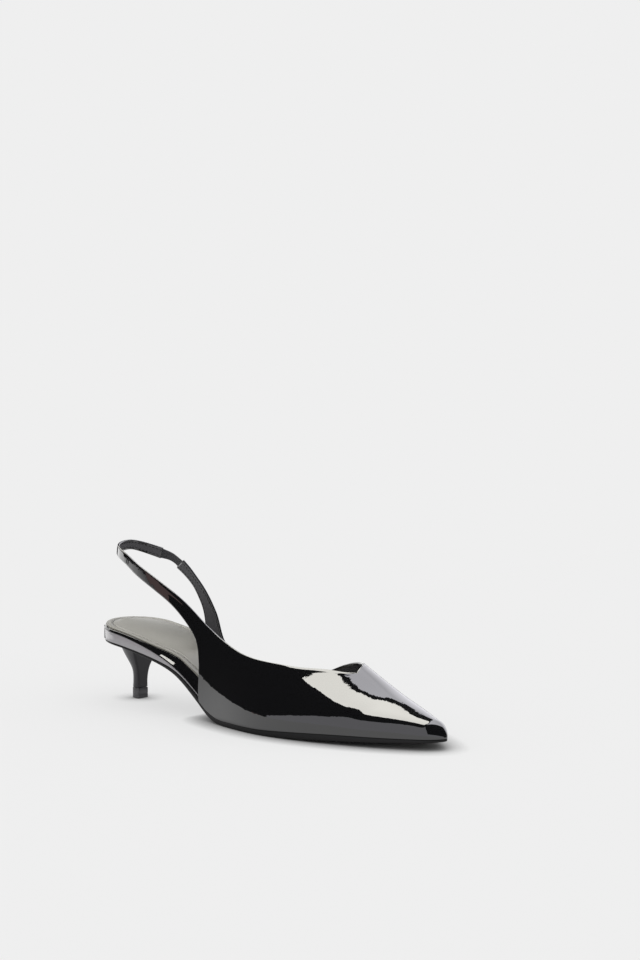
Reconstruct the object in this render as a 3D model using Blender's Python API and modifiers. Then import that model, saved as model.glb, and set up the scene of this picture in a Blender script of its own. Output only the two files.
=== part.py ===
"""Pointed kitten heel slingback, right shoe, in metres, +Z up.

+X points to the toe, +Y to the inner side of the foot. The shoe stands on the floor at z = 0, with the origin
under the middle of its box. Sizes and tables are in millimetres, with x counted from the back of the seat.
"""
import bpy
import bmesh
import numpy as np

MM = 0.001
OUTER, INNER = 0, 1
SIGN = (-1.0, 1.0)

# Driving dimensions
TOE_TIP = 254.0          # length of the shoe
TOE_ROUND = 9.0          # length of the rounded nose
TOE_PULL = 1.8           # how much further the tip draws back than the sides, per mm of inset
SEAT_ROUND = 22.7        # depth of the rounded seat
THROAT = 191.0           # station of the point of the V throat
LOOP_CENTRE = 29.0       # station where the strap starts to turn round the heel
LOOP_TURN = 22.0         # station length of one radian of that turn
LOOP_RATIO = 0.96        # depth of the turn over its half width
WALL = 1.6               # upper's leather with its lining
ELASTIC_WALL = 1.2
GAP = 0.3                # clearance between pieces that meet
BOARD_INSET = WALL + 2 * GAP
SOCK_INSET = BOARD_INSET + 0.8
SOCK_THICKNESS = 1.0
TREAD_BACK = 118.0       # flat tread under the ball, from here
TREAD_FRONT = 148.0      # to here
TOE_SPRING = 4.8         # lift of the sole under the toe tip
SPRING_POWER = 1.2
WEDGE_FRONT = 122.0      # front end of the wedge
EDGE_BREAK = 0.45        # broken edge of the sole's layers
LIFT_HEIGHT = 6.5
LIFT_PROUD = 0.15        # top lift's edge outside the heel's

# Fineness of the meshes
RIB_STEPS = 2
UPPER_ROWS = 8
VAMP_STEPS = 13
NOSE_STEPS = 7
LAYER_STEP = 6.5
END_STEPS = 9
HEEL_POINTS = 25
HEEL_RINGS = 15
MERGE = 0.01             # points closer than this are one point
SMOOTH_BELOW = 40.0      # degrees, shading

# Plan outline: station, half width on the outer and on the inner side
OUTLINE = np.array([
    (0, 25.9, 25.9),
    (23, 26.2, 26.2),
    (50, 26.7, 25.7),
    (75, 27.3, 23.7),
    (100, 29.4, 21.9),
    (125, 34.9, 22.3),
    (145, 38.0, 26.1),
    (165, 37.5, 31.1),
    (185, 34.1, 34.0),
    (205, 28.5, 32.0),
    (225, 21.1, 24.4),
    (245, 11.2, 11.0),
    (256, 5.3, 3.0),
])

# Sole in profile: station, height of the underside, thickness of outsole, wedge and footbed, outsole's inset
SOLE = np.array([
    (0, 36.3, 1.2, 7.0, 1.0, 2.7),
    (20, 35.2, 1.2, 6.0, 1.2, 2.7),
    (40, 32.2, 1.4, 5.0, 1.9, 2.7),
    (60, 27.9, 1.8, 3.0, 3.3, 2.5),
    (75, 22.4, 2.4, 1.2, 5.6, 2.0),
    (85, 16.1, 2.8, 0.8, 6.9, 1.5),
    (95, 8.9, 3.0, 0.7, 7.6, 1.1),
    (105, 2.5, 3.1, 0.7, 7.4, 0.9),
    (115, 0.2, 3.1, 0.7, 6.2, 0.9),
    (130, 0.0, 3.1, 0.6, 3.8, 0.9),
    (150, 0.0, 3.2, 0.4, 2.4, 0.9),
    (175, 0.0, 3.6, 0.3, 2.2, 0.9),
    (200, 0.0, 3.5, 0.3, 2.0, 0.8),
    (225, 0.0, 2.6, 0.3, 1.8, 0.5),
    (256, 0.0, 1.3, 0.3, 1.6, 0.1),
])

# Last: station, centre line's y, z and sideways tilt, then fullness of the sides, fullness of the top and
# bulge, each for the outer and the inner side
LAST = np.array([
    (0, 0.0, 122.0, 0.00, 0.50, 0.50, 0.55, 0.55, 2.0, 2.0),
    (30, 0.0, 122.0, 0.00, 0.50, 0.50, 0.55, 0.55, 2.0, 2.0),
    (60, 1.0, 112.0, 0.00, 0.50, 0.50, 0.55, 0.55, 2.0, 2.0),
    (90, 1.5, 94.0, 0.00, 0.50, 0.50, 0.55, 0.55, 2.0, 2.0),
    (120, 1.5, 74.0, 0.10, 0.48, 0.52, 0.50, 0.55, 2.0, 2.0),
    (150, 0.5, 56.0, 0.28, 0.50, 0.54, 0.49, 0.54, 2.0, 2.0),
    (175, -0.4, 43.2, 0.43, 0.55, 0.55, 0.52, 0.50, 2.0, 2.0),
    (191, -0.5, 35.6, 0.39, 0.62, 0.53, 0.55, 0.42, 1.8, 2.0),
    (210, -0.3, 26.1, 0.22, 0.73, 0.54, 0.64, 0.43, 1.0, 1.8),
    (230, 0.2, 19.8, 0.11, 0.77, 0.54, 0.70, 0.44, 0.8, 1.4),
    (246, 0.6, 15.4, 0.02, 0.70, 0.57, 0.62, 0.49, 0.7, 1.0),
    (256, 0.7, 13.1, 0.00, 0.62, 0.62, 0.54, 0.55, 0.7, 0.6),
])

# Ribs of the upper behind the throat: station and girth share of the lower edge, then of the upper edge
OUTER_RIBS = np.array([
    (191, 0.000, 191, 1.000),
    (186, 0.000, 186, 0.912),
    (180, 0.000, 180, 0.842),
    (173, 0.000, 173, 0.754),
    (165, 0.000, 165, 0.657),
    (156, 0.000, 156, 0.582),
    (146, 0.000, 146, 0.516),
    (135, 0.000, 136, 0.468),
    (124, 0.000, 126, 0.440),
    (113, 0.000, 117, 0.429),
    (103, 0.000, 109, 0.421),
    (96.4, 0.000, 102, 0.413),
    (96.0, 0.100, 98, 0.406),
    (95.2, 0.198, 95, 0.403),
    (92.2, 0.265, 91.5, 0.401),
    (87, 0.291, 87, 0.400),
    (80, 0.305, 80, 0.399),
    (71, 0.319, 72, 0.397),
    (60, 0.331, 62, 0.400),
    (49, 0.345, 51, 0.409),
    (38, 0.368, 40, 0.427),
    (29, 0.402, 30, 0.457),
    (20, 0.430, 20.5, 0.484),
    (10, 0.444, 10, 0.501),
    (0, 0.449, 0, 0.509),
    (-8, 0.450, -8, 0.509),
    (-16, 0.432, -16, 0.495),
    (-23.5, 0.408, -24.5, 0.472),
    (-29.5, 0.389, -32, 0.450),
])
INNER_RIBS = np.array([
    (191, 0.000, 191, 1.000),
    (188.5, 0.000, 188.5, 0.850),
    (186, 0.000, 186, 0.761),
    (182, 0.000, 182, 0.663),
    (176, 0.000, 176, 0.567),
    (167, 0.000, 167, 0.468),
    (157, 0.000, 157, 0.370),
    (146, 0.000, 146, 0.272),
    (134, 0.000, 134, 0.173),
    (122, 0.000, 122, 0.095),
    (111, 0.000, 111, 0.051),
    (101, 0.000, 101, 0.032),
    (92, 0.000, 92, 0.030),
    (84, 0.000, 84, 0.038),
    (77, 0.000, 77, 0.050),
    (70, 0.000, 71.2, 0.064),
    (64, 0.000, 67.8, 0.080),
    (59, 0.000, 65.7, 0.106),
    (55, 0.000, 64, 0.143),
    (52.6, 0.000, 62, 0.187),
    (52.2, 0.060, 59.6, 0.219),
    (51.6, 0.130, 57, 0.249),
    (50, 0.185, 54, 0.279),
    (47, 0.230, 51, 0.304),
    (43.5, 0.270, 48, 0.326),
    (40, 0.296, 45, 0.347),
    (36.6, 0.315, 42, 0.369),
    (33.2, 0.331, 39.2, 0.387),
    (30, 0.345, 36.7, 0.402),
])
ELASTIC_RIBS = np.array([
    (19.2, 0.391, 21.2, 0.444),
    (23.1, 0.385, 25.9, 0.430),
    (27.0, 0.374, 30.6, 0.413),
    (30.5, 0.357, 35.2, 0.395),
])

# Heel: height, back and breast of the section, half width
HEEL = np.array([
    (6.8, 15.3, 22.9, 4.1),
    (10.0, 15.5, 22.9, 4.0),
    (14.0, 15.6, 23.0, 4.3),
    (18.6, 14.8, 23.3, 5.4),
    (23.0, 12.2, 24.0, 7.4),
    (28.0, 9.2, 25.2, 10.1),
    (32.0, 7.5, 26.8, 12.4),
    (35.0, 6.6, 28.6, 13.8),
])


def curve(table, column, at):
    """Natural cubic curve through a table: one column as a smooth function of the first."""
    knots, values = table[:, 0], table[:, column]
    step = np.diff(knots)
    count = len(knots)
    matrix = np.eye(count)
    right = np.zeros(count)
    for i in range(1, count - 1):
        matrix[i, i - 1:i + 2] = step[i - 1], 2 * (step[i - 1] + step[i]), step[i]
        right[i] = 6 * ((values[i + 1] - values[i]) / step[i] - (values[i] - values[i - 1]) / step[i - 1])
    bend = np.linalg.solve(matrix, right)
    at = np.asarray(at, float)
    i = np.clip(np.searchsorted(knots, at) - 1, 0, count - 2)
    a, b, h = at - knots[i], knots[i + 1] - at, step[i]
    return ((bend[i] * b ** 3 + bend[i + 1] * a ** 3) / (6 * h)
            + (values[i] / h - bend[i] * h / 6) * b + (values[i + 1] / h - bend[i + 1] * h / 6) * a)


def rounding(depth, length):
    """1 away from an end, falling to 0 at the end along a quarter ellipse of that length."""
    t = np.clip(1 - depth / length, 0, 1)
    return np.sqrt(1 - t ** 2)


def half_width(x, side, inset):
    """Half width of a layer whose edge lies that far inside the shoe's outline, measured square to it."""
    toe = rounding(TOE_TIP - TOE_PULL * inset - x, TOE_ROUND)
    seat = rounding(x - inset + BOARD_INSET, SEAT_ROUND)
    slope = curve(OUTLINE, 1 + side, x + 0.5) - curve(OUTLINE, 1 + side, x - 0.5)
    return (curve(OUTLINE, 1 + side, x) - inset * np.hypot(1, slope)) * toe * seat


def underside(x):
    """Ground side of the outsole: the arch, the flat tread and the toe spring."""
    arch = np.where(x < TREAD_BACK, np.maximum(curve(SOLE, 1, x), 0), 0)
    spring = np.clip((x - TREAD_FRONT) / (TOE_TIP - TREAD_FRONT), 0, None)
    return arch + TOE_SPRING * spring ** SPRING_POWER


def outsole_top(x):
    return underside(x) + curve(SOLE, 2, x)


def wedge_top(x):
    return outsole_top(x) + GAP + curve(SOLE, 3, x)


def footbed_top(x):
    return wedge_top(x) + GAP + curve(SOLE, 4, x)


def last(station, share, side):
    """Point of the upper's outer face.

    The station runs along the shoe and, behind the loop's centre, on round the heel. The share runs from the
    feather line (0) to the centre line (1) on a cubic arc: up and out at the feather, along the tilt on top.
    """
    station = np.asarray(station, float)
    share = np.asarray(share, float)
    turn = np.maximum(LOOP_CENTRE - station, 0) / LOOP_TURN
    row = np.maximum(station, LOOP_CENTRE)
    toe = rounding(TOE_TIP - row, TOE_ROUND)
    low = outsole_top(row) + GAP
    wide = curve(OUTLINE, 1 + side, row) * toe
    middle = SIGN[side] * curve(LAST, 1, row) * toe
    high = low + (curve(LAST, 2, row) - low) * toe
    tilt = SIGN[side] * curve(LAST, 3, row) * toe
    shoulder = low + curve(LAST, 4 + side, row) * (high - low)
    reach = curve(LAST, 6 + side, row) * (wide - middle)
    bulge = curve(LAST, 8 + side, row) * toe
    weights = ((1 - share) ** 3, 3 * share * (1 - share) ** 2, 3 * share ** 2 * (1 - share), share ** 3)
    across = sum(w * p for w, p in zip(weights, (wide, wide + bulge, middle + reach, middle)))
    x = row - LOOP_RATIO * across * np.sin(turn)
    y = SIGN[side] * across * np.cos(turn)
    z = sum(w * p for w, p in zip(weights, (low, shoulder, high + tilt * reach, high)))
    return np.stack(np.broadcast_arrays(x, y, z), -1)


def wing(ribs, side):
    """Grid over the stretch of the last between the two edges that a table of ribs gives."""
    numbered = np.column_stack([np.arange(len(ribs)), ribs])
    at = np.linspace(0, len(ribs) - 1, (len(ribs) - 1) * RIB_STEPS + 1)
    foot_station, foot_share, top_station, top_share = (curve(numbered, c, at)[:, None] for c in (1, 2, 3, 4))
    up = np.linspace(0, 1, UPPER_ROWS + 1)[None, :]
    station = foot_station + (top_station - foot_station) * up
    share = np.clip(foot_share, 0, 1) * (1 - up) + np.clip(top_share, 0, 1) * up
    return last(station, share, side)


def vamp(side):
    """Grid over the closed front of the last, from the throat to the tip of the toe."""
    nose = TOE_TIP - TOE_ROUND
    straight = np.linspace(THROAT, nose, VAMP_STEPS + 1)[:-1]
    turned = nose + TOE_ROUND * np.sin(np.linspace(0, np.pi / 2, NOSE_STEPS + 1))
    share = np.linspace(0, 1, UPPER_ROWS + 1)
    return last(np.concatenate([straight, turned])[:, None], share[None, :], side)


def widest(side):
    """Largest reach of the upper to one side."""
    station = np.linspace(LOOP_CENTRE, TOE_TIP, 400)[:, None]
    share = np.linspace(0, 0.5, 60)[None, :]
    return np.abs(last(station, share, side)[..., 1]).max()


ORIGIN = np.array([TOE_TIP / 2, (widest(INNER) - widest(OUTER)) / 2, 0.0])


def grid_quads(rows, columns, closed=False):
    """Faces between neighbouring points of a grid, whose columns may close into rings."""
    r, c = np.meshgrid(np.arange(rows - 1), np.arange(columns if closed else columns - 1), indexing="ij")
    right = (c + 1) % columns
    corners = (r * columns + c, r * columns + right, (r + 1) * columns + right, (r + 1) * columns + c)
    return np.stack(corners, -1).reshape(-1, 4)


def material(name, colour, roughness):
    """Principled finish of one piece."""
    finish = bpy.data.materials.new(name)
    finish.use_nodes = True
    shader = finish.node_tree.nodes["Principled BSDF"]
    shader.inputs["Base Color"].default_value = (*colour, 1.0)
    shader.inputs["Roughness"].default_value = roughness
    shader.inputs["Metallic"].default_value = 0.0
    return finish


def add_piece(name, points, faces, finish, closed):
    """Named object of one mesh in the shoe's frame, its shared points merged and a closed one facing out."""
    mesh = bpy.data.meshes.new(name)
    mesh.from_pydata(((points - ORIGIN) * MM).tolist(), [], faces)
    shape = bmesh.new()
    shape.from_mesh(mesh)
    bmesh.ops.remove_doubles(shape, verts=shape.verts, dist=MERGE * MM)
    if closed:
        bmesh.ops.recalc_face_normals(shape, faces=shape.faces)
    shape.to_mesh(mesh)
    shape.free()
    mesh.shade_smooth()
    mesh.set_sharp_from_angle(angle=np.radians(SMOOTH_BELOW))
    mesh.materials.append(finish)
    piece = bpy.data.objects.new(name, mesh)
    shoe.objects.link(piece)
    return piece


def add_shell(name, grids, wall, finish):
    """Leather or elastic: grids of the last joined to one open surface, with its wall on the foot's side."""
    points, faces = [], []
    for grid, turned in grids:
        start = sum(len(p) for p in points)
        quads = grid_quads(*grid.shape[:2]) + start
        faces += (quads[:, ::-1] if turned else quads).tolist()
        points.append(grid.reshape(-1, 3))
    piece = add_piece(name, np.concatenate(points), faces, finish, closed=False)
    solid = piece.modifiers.new("wall", "SOLIDIFY")
    solid.thickness = wall * MM
    solid.offset = -1.0
    solid.use_even_offset = True


def add_loft(name, rings, finish):
    """Closed solid through rings of points, with both end rings capped."""
    count, columns = rings.shape[:2]
    faces = grid_quads(count, columns, closed=True).tolist()
    faces.append(list(range(columns)))
    faces.append(list(range((count - 1) * columns, count * columns)))
    add_piece(name, rings.reshape(-1, 3), faces, finish, closed=True)


def layer_stations(back, front, rounded_front):
    """Stations of a layer, close together where its ends are round."""
    seat = back + SEAT_ROUND * (1 - np.cos(np.linspace(0, np.pi / 2, END_STEPS)))
    if rounded_front:
        toe = front - TOE_ROUND * (1 - np.sin(np.linspace(0, np.pi / 2, END_STEPS)))
    else:
        toe = np.array([front])
    steps = int(np.ceil((toe[0] - seat[-1]) / LAYER_STEP))
    return np.concatenate([seat, np.linspace(seat[-1], toe[0], steps + 1)[1:-1], toe])


def add_layer(name, x, inset, bottom, top, finish):
    """Layer of the sole: at each station a flat strip with broken edges, between two heights."""
    outer = -half_width(x, OUTER, inset)
    inner = half_width(x, INNER, inset)
    edge = np.minimum(EDGE_BREAK, (inner - outer) / 4)
    rise = np.minimum(EDGE_BREAK, (top - bottom) / 4)
    ring = ((outer + edge, bottom), (inner - edge, bottom), (inner, bottom + rise), (inner, top - rise),
            (inner - edge, top), (outer + edge, top), (outer, top - rise), (outer, bottom + rise))
    add_loft(name, np.stack([np.stack([x, y, z], -1) for y, z in ring], 1), finish)


def d_section(back, breast, half, z):
    """Heel section: a round back that ends in a flat breast."""
    turn = np.linspace(-np.pi / 2, np.pi / 2, HEEL_POINTS)
    x = breast - (breast - back) * np.cos(turn)
    return np.stack([x, half * np.sin(turn), np.broadcast_to(z, x.shape)], -1)


def add_heel(finish):
    """Waisted heel, its top fitted to the sloping underside of the seat."""
    heights = np.linspace(HEEL[0, 0], HEEL[-1, 0], HEEL_RINGS)
    rings = [d_section(*(curve(HEEL, column, z) for column in (1, 2, 3)), z) for z in heights]
    rings[-1][:, 2] = underside(rings[-1][:, 0]) - GAP
    add_loft("heel", np.stack(rings), finish)


def add_top_lift(finish):
    """Tread piece under the heel, a little proud of it, with broken edges."""
    _, back, breast, half = HEEL[0]
    heights = (0.0, EDGE_BREAK, LIFT_HEIGHT - EDGE_BREAK, LIFT_HEIGHT)
    proud = (LIFT_PROUD - EDGE_BREAK, LIFT_PROUD, LIFT_PROUD, LIFT_PROUD - EDGE_BREAK)
    rings = [d_section(back - p, breast + p, half + p, z) for z, p in zip(heights, proud)]
    add_loft("top_lift", np.stack(rings), finish)


def build_shoe():
    patent = material("patent_leather", (0.008, 0.008, 0.010), 0.08)
    sock = material("sock_leather", (0.36, 0.35, 0.32), 0.42)
    sole = material("sole_rubber", (0.015, 0.015, 0.016), 0.50)
    lift = material("lift_rubber", (0.012, 0.012, 0.012), 0.60)
    webbing = material("elastic_webbing", (0.020, 0.020, 0.022), 0.80)

    add_shell("upper", [(vamp(OUTER), True), (wing(OUTER_RIBS, OUTER), False),
                        (vamp(INNER), False), (wing(INNER_RIBS, INNER), True)], WALL, patent)
    add_shell("elastic", [(wing(ELASTIC_RIBS, INNER), False)], ELASTIC_WALL, webbing)

    board = layer_stations(0.0, TOE_TIP - TOE_PULL * BOARD_INSET, True)
    add_layer("footbed", board, BOARD_INSET, wedge_top(board) + GAP, footbed_top(board), patent)

    sock_x = layer_stations(SOCK_INSET - BOARD_INSET, TOE_TIP - TOE_PULL * SOCK_INSET, True)
    sock_low = footbed_top(sock_x) + GAP
    add_layer("insole", sock_x, SOCK_INSET, sock_low, sock_low + SOCK_THICKNESS, sock)

    wedge = layer_stations(0.0, WEDGE_FRONT, False)
    add_layer("seat_wedge", wedge, BOARD_INSET, outsole_top(wedge) + GAP, wedge_top(wedge), patent)

    seat_lip, toe_lip = SOLE[0, 5], SOLE[-1, 5]
    tread = layer_stations(seat_lip - BOARD_INSET, TOE_TIP - TOE_PULL * toe_lip, True)
    add_layer("outsole", tread, curve(SOLE, 5, tread), underside(tread), outsole_top(tread), sole)

    add_heel(patent)
    add_top_lift(lift)


for leftover in list(bpy.data.objects):
    bpy.data.objects.remove(leftover, do_unlink=True)
shoe = bpy.data.collections.new("kitten_heel_slingback")
bpy.context.scene.collection.children.link(shoe)
build_shoe()
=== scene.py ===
"""Looks of a pointed kitten heel slingback, right shoe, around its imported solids.

Sizes and tables are in millimetres, with x counted from the back of the seat to the toe, +Y to the inner
side of the foot and +Z up. place() turns them into the frame's metres.
"""

import bmesh
import bpy
import numpy as np
from mathutils import Matrix


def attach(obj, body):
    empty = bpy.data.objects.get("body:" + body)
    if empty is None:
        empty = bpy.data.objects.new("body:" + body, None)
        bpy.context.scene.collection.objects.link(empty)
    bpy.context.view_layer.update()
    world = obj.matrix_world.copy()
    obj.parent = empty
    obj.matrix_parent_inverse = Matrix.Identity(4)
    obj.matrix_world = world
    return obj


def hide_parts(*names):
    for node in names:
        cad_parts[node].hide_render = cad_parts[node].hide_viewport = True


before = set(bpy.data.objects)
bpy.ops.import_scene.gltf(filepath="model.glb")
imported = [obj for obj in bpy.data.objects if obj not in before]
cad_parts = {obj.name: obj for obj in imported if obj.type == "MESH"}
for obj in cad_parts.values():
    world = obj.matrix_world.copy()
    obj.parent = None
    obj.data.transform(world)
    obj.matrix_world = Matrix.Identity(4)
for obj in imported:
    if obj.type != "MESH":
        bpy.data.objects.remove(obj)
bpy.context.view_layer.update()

MM = 0.001
OUTER, INNER = 0, 1
SIGN = (-1.0, 1.0)
UP = np.array([0.0, 0.0, 1.0])

# Sizes of the shoe, as its solids have them
TOE_TIP = 254.0
TOE_ROUND = 9.0
TOE_PULL = 1.8  # how much further the tip draws back than the sides, per mm of inset
SEAT_ROUND = 22.7
THROAT = 191.0
LOOP_CENTRE = 29.0
LOOP_TURN = 22.0
LOOP_RATIO = 0.96
WALL = 1.6
ELASTIC_WALL = 1.0
GAP = 0.3
BOARD_INSET = WALL + 2 * GAP
SOCK_INSET = BOARD_INSET + 0.8
SOCK_THICKNESS = 1.0
TREAD_BACK = 118.0
TREAD_FRONT = 148.0
TOE_SPRING = 4.8
SPRING_POWER = 1.2
WEDGE_FRONT = 122.0
LIFT_HEIGHT = 6.5
LIFT_PROUD = 0.15

# Rounded edges of the sole's layers, the heel and its lift
SOCK_FOOT = 0.3
SOCK_RIM = 0.9
WEDGE_EDGE = 0.3
TREAD_FOOT = 0.45
TREAD_HEAD = 0.25
HEEL_CORNER = 0.6
LIFT_CORNER = 0.7
LIFT_EDGE = 0.45
SHARP = 50.0  # degrees between faces that meet in a sharp edge

# Groove round the lift: heights of its lips and its floor, and its depth
GROOVE_HEIGHTS = (2.2, 2.35, 2.5, 2.65)
GROOVE_DEPTH = 0.12

# Fineness of the surfaces
RIB_STEPS = 7
FACE_COLUMNS = 44
ROLL_STEPS = 4
VAMP_STEPS = 72
NOSE_STEPS = 26
SEAT_STEPS = 30
SIDE_STEPS = 150
EDGE_STEPS = 5
MIDDLE_STEPS = 9
PAD_STEPS = 12
HEEL_RINGS = 56
HEEL_BACK_STEPS = 61
HEEL_CORNER_STEPS = 7
HEEL_BREAST_STEPS = 13
CAP_RINGS = 5
STITCH_RINGS = 7
STITCH_SIDES = 6
CHORDS = 33  # points that a row's length is measured over
WIDTH_ROWS = 400  # stations and shares that the shoe's width is measured at
WIDTH_SHARES = 60
EASE = 1 - np.cos(np.linspace(0, np.pi / 2, ROLL_STEPS + 1))  # steps across a rolled edge
MERGE = 0.012  # points closer than this are one point

# Small steps that directions are measured over
STATION_STEP = 0.05
SHARE_STEP = 0.002
PATH_STEP = 0.2
TIP_MARGIN = 0.001  # slopes are measured this far behind the tip, along the shoe and up the side
NOSE_MARGIN = 0.02
TINY = 1e-9

# Plan outline: station, half width on the outer and on the inner side
OUTLINE = np.array([
    (0, 25.9, 25.9),
    (23, 26.2, 26.2),
    (50, 26.7, 25.7),
    (75, 27.3, 23.7),
    (100, 29.4, 21.9),
    (125, 34.9, 22.3),
    (145, 38.0, 26.1),
    (165, 37.5, 31.1),
    (185, 34.1, 34.0),
    (205, 28.5, 32.0),
    (225, 21.1, 24.4),
    (245, 11.2, 11.0),
    (256, 5.3, 3.0),
])

# Sole in profile: station, height of the underside, thickness of outsole, wedge and footbed, outsole's inset
SOLE = np.array([
    (0, 36.3, 1.2, 7.0, 1.0, 2.7),
    (20, 35.2, 1.2, 6.0, 1.2, 2.7),
    (40, 32.2, 1.4, 5.0, 1.9, 2.7),
    (60, 27.9, 1.8, 3.0, 3.3, 2.5),
    (75, 22.4, 2.4, 1.2, 5.6, 2.0),
    (85, 16.1, 2.8, 0.8, 6.9, 1.5),
    (95, 8.9, 3.0, 0.7, 7.6, 1.1),
    (105, 2.5, 3.1, 0.7, 7.4, 0.9),
    (115, 0.2, 3.1, 0.7, 6.2, 0.9),
    (130, 0.0, 3.1, 0.6, 3.8, 0.9),
    (150, 0.0, 3.2, 0.4, 2.4, 0.9),
    (175, 0.0, 3.6, 0.3, 2.2, 0.9),
    (200, 0.0, 3.5, 0.3, 2.0, 0.8),
    (225, 0.0, 2.6, 0.3, 1.8, 0.5),
    (256, 0.0, 1.3, 0.3, 1.6, 0.1),
])

# Last: station, centre line's y, z and sideways tilt, then fullness of the sides, fullness of the top and
# bulge, each for the outer and the inner side
LAST = np.array([
    (0, 0.0, 122.0, 0.00, 0.50, 0.50, 0.55, 0.55, 2.0, 2.0),
    (30, 0.0, 122.0, 0.00, 0.50, 0.50, 0.55, 0.55, 2.0, 2.0),
    (60, 1.0, 112.0, 0.00, 0.50, 0.50, 0.55, 0.55, 2.0, 2.0),
    (90, 1.5, 94.0, 0.00, 0.50, 0.50, 0.55, 0.55, 2.0, 2.0),
    (120, 1.5, 74.0, 0.10, 0.48, 0.52, 0.50, 0.55, 2.0, 2.0),
    (150, 0.5, 56.0, 0.28, 0.50, 0.54, 0.49, 0.54, 2.0, 2.0),
    (175, -0.4, 43.2, 0.43, 0.55, 0.55, 0.52, 0.50, 2.0, 2.0),
    (191, -0.5, 35.6, 0.39, 0.62, 0.53, 0.55, 0.42, 1.8, 2.0),
    (210, -0.3, 26.1, 0.22, 0.73, 0.54, 0.64, 0.43, 1.0, 1.8),
    (230, 0.2, 19.8, 0.11, 0.77, 0.54, 0.70, 0.44, 0.8, 1.4),
    (246, 0.6, 15.4, 0.02, 0.70, 0.57, 0.62, 0.49, 0.7, 1.0),
    (256, 0.7, 13.1, 0.00, 0.62, 0.62, 0.54, 0.55, 0.7, 0.6),
])

# Ribs of the upper behind the throat: station and girth share of the lower edge, then of the upper edge
OUTER_RIBS = np.array([
    (191, 0.0, 191, 1.000),
    (186, 0.0, 186, 0.912),
    (180, 0.0, 180, 0.842),
    (173, 0.0, 173, 0.754),
    (165, 0.0, 165, 0.657),
    (156, 0.0, 156, 0.582),
    (146, 0.0, 146, 0.516),
    (135, 0.0, 136, 0.468),
    (124, 0.0, 126, 0.440),
    (113, 0.0, 117, 0.429),
    (103, 0.0, 109, 0.421),
    (96.4, 0.0, 102, 0.413),
    (96.0, 0.100, 98, 0.406),
    (95.2, 0.198, 95, 0.403),
    (92.2, 0.265, 91.5, 0.401),
    (87, 0.291, 87, 0.400),
    (80, 0.305, 80, 0.399),
    (71, 0.319, 72, 0.397),
    (60, 0.331, 62, 0.400),
    (49, 0.345, 51, 0.409),
    (38, 0.368, 40, 0.427),
    (29, 0.402, 30, 0.457),
    (20, 0.430, 20.5, 0.484),
    (10, 0.444, 10, 0.501),
    (0, 0.449, 0, 0.509),
    (-8, 0.450, -8, 0.509),
    (-16, 0.432, -16, 0.495),
    (-23.5, 0.408, -24.5, 0.472),
    (-29.5, 0.389, -32, 0.450),
])
INNER_RIBS = np.array([
    (191, 0.0, 191, 1.000),
    (188.5, 0.0, 188.5, 0.850),
    (186, 0.0, 186, 0.761),
    (182, 0.0, 182, 0.663),
    (176, 0.0, 176, 0.567),
    (167, 0.0, 167, 0.468),
    (157, 0.0, 157, 0.370),
    (146, 0.0, 146, 0.272),
    (134, 0.0, 134, 0.173),
    (122, 0.0, 122, 0.095),
    (111, 0.0, 111, 0.051),
    (101, 0.0, 101, 0.032),
    (92, 0.0, 92, 0.030),
    (84, 0.0, 84, 0.038),
    (77, 0.0, 77, 0.050),
    (70, 0.0, 71.2, 0.064),
    (64, 0.0, 67.8, 0.080),
    (59, 0.0, 65.7, 0.106),
    (55, 0.0, 64, 0.143),
    (52.6, 0.0, 62, 0.187),
    (52.2, 0.060, 59.6, 0.219),
    (51.6, 0.130, 57, 0.249),
    (50, 0.185, 54, 0.279),
    (47, 0.230, 51, 0.304),
    (43.5, 0.270, 48, 0.326),
    (40, 0.296, 45, 0.347),
    (36.6, 0.315, 42, 0.369),
    (33.2, 0.331, 39.2, 0.387),
    (30, 0.345, 36.7, 0.402),
])
ELASTIC_RIBS = np.array([
    (19.2, 0.391, 21.2, 0.444),
    (23.1, 0.385, 25.9, 0.430),
    (27.0, 0.374, 30.6, 0.413),
    (30.5, 0.357, 35.2, 0.395),
])

RIBS = (OUTER_RIBS, INNER_RIBS)
END_SPACING = 6.0  # distance between the last two ribs of a strap end

# Heel: height, back and breast of the section, half width
HEEL = np.array([
    (6.8, 15.3, 22.9, 4.1),
    (10.0, 15.5, 22.9, 4.0),
    (14.0, 15.6, 23.0, 4.3),
    (18.6, 14.8, 23.3, 5.4),
    (23.0, 12.2, 24.0, 7.4),
    (28.0, 9.2, 25.2, 10.1),
    (32.0, 7.5, 26.8, 12.4),
    (35.0, 6.6, 28.6, 13.8),
])

# Leather edges: the outer skin and the lining meet on a half round of the wall's own thickness
ROLL = WALL / 2
ROLL_SHARE = 0.25  # most of a row's length that a roll takes up
EDGE_POWER = 3.0  # 2 is a half round, more is squarer
FOLD = 1.1  # skin folded over to the foot's side
BEAD_AT = 1.7  # stitched fold behind the topline, a low ridge
BEAD_WIDTH = 0.75
BEAD_HEIGHT = 0.10
BEAD_BACK = 55.0  # station where it starts, and distances over which it rises and ends
BEAD_RISE = 20.0
BEAD_STOP = 3.0
FEATHER_SHARE = 0.03  # a lower edge above this share is rolled, and square at the feather line

# Lean of the strap off the last: station of its upper edge, degrees that its face tips down on the outer side
LEAN = np.array([
    (-35, 0.0), (0, 7.0), (20, 12.0), (30, 13.0), (42, 12.5),
    (52, 11.5), (64, 10.5), (74, 5.0), (92, 0.0), (200, 0.0),
])

# Wrapped edge of the footbed: station, depth of the slope at its foot in shares of the footbed's thickness
FLANK = np.array([
    (0, 0.06), (40, 0.06), (64, 0.46), (74, 0.42),
    (82, 0.24), (104, 0.24), (116, 0.10), (260, 0.06),
])
FLANK_LEAN = 0.3
FLANK_TOP = 1.25  # share of the slope's depth by which the upper edge is drawn in

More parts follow.
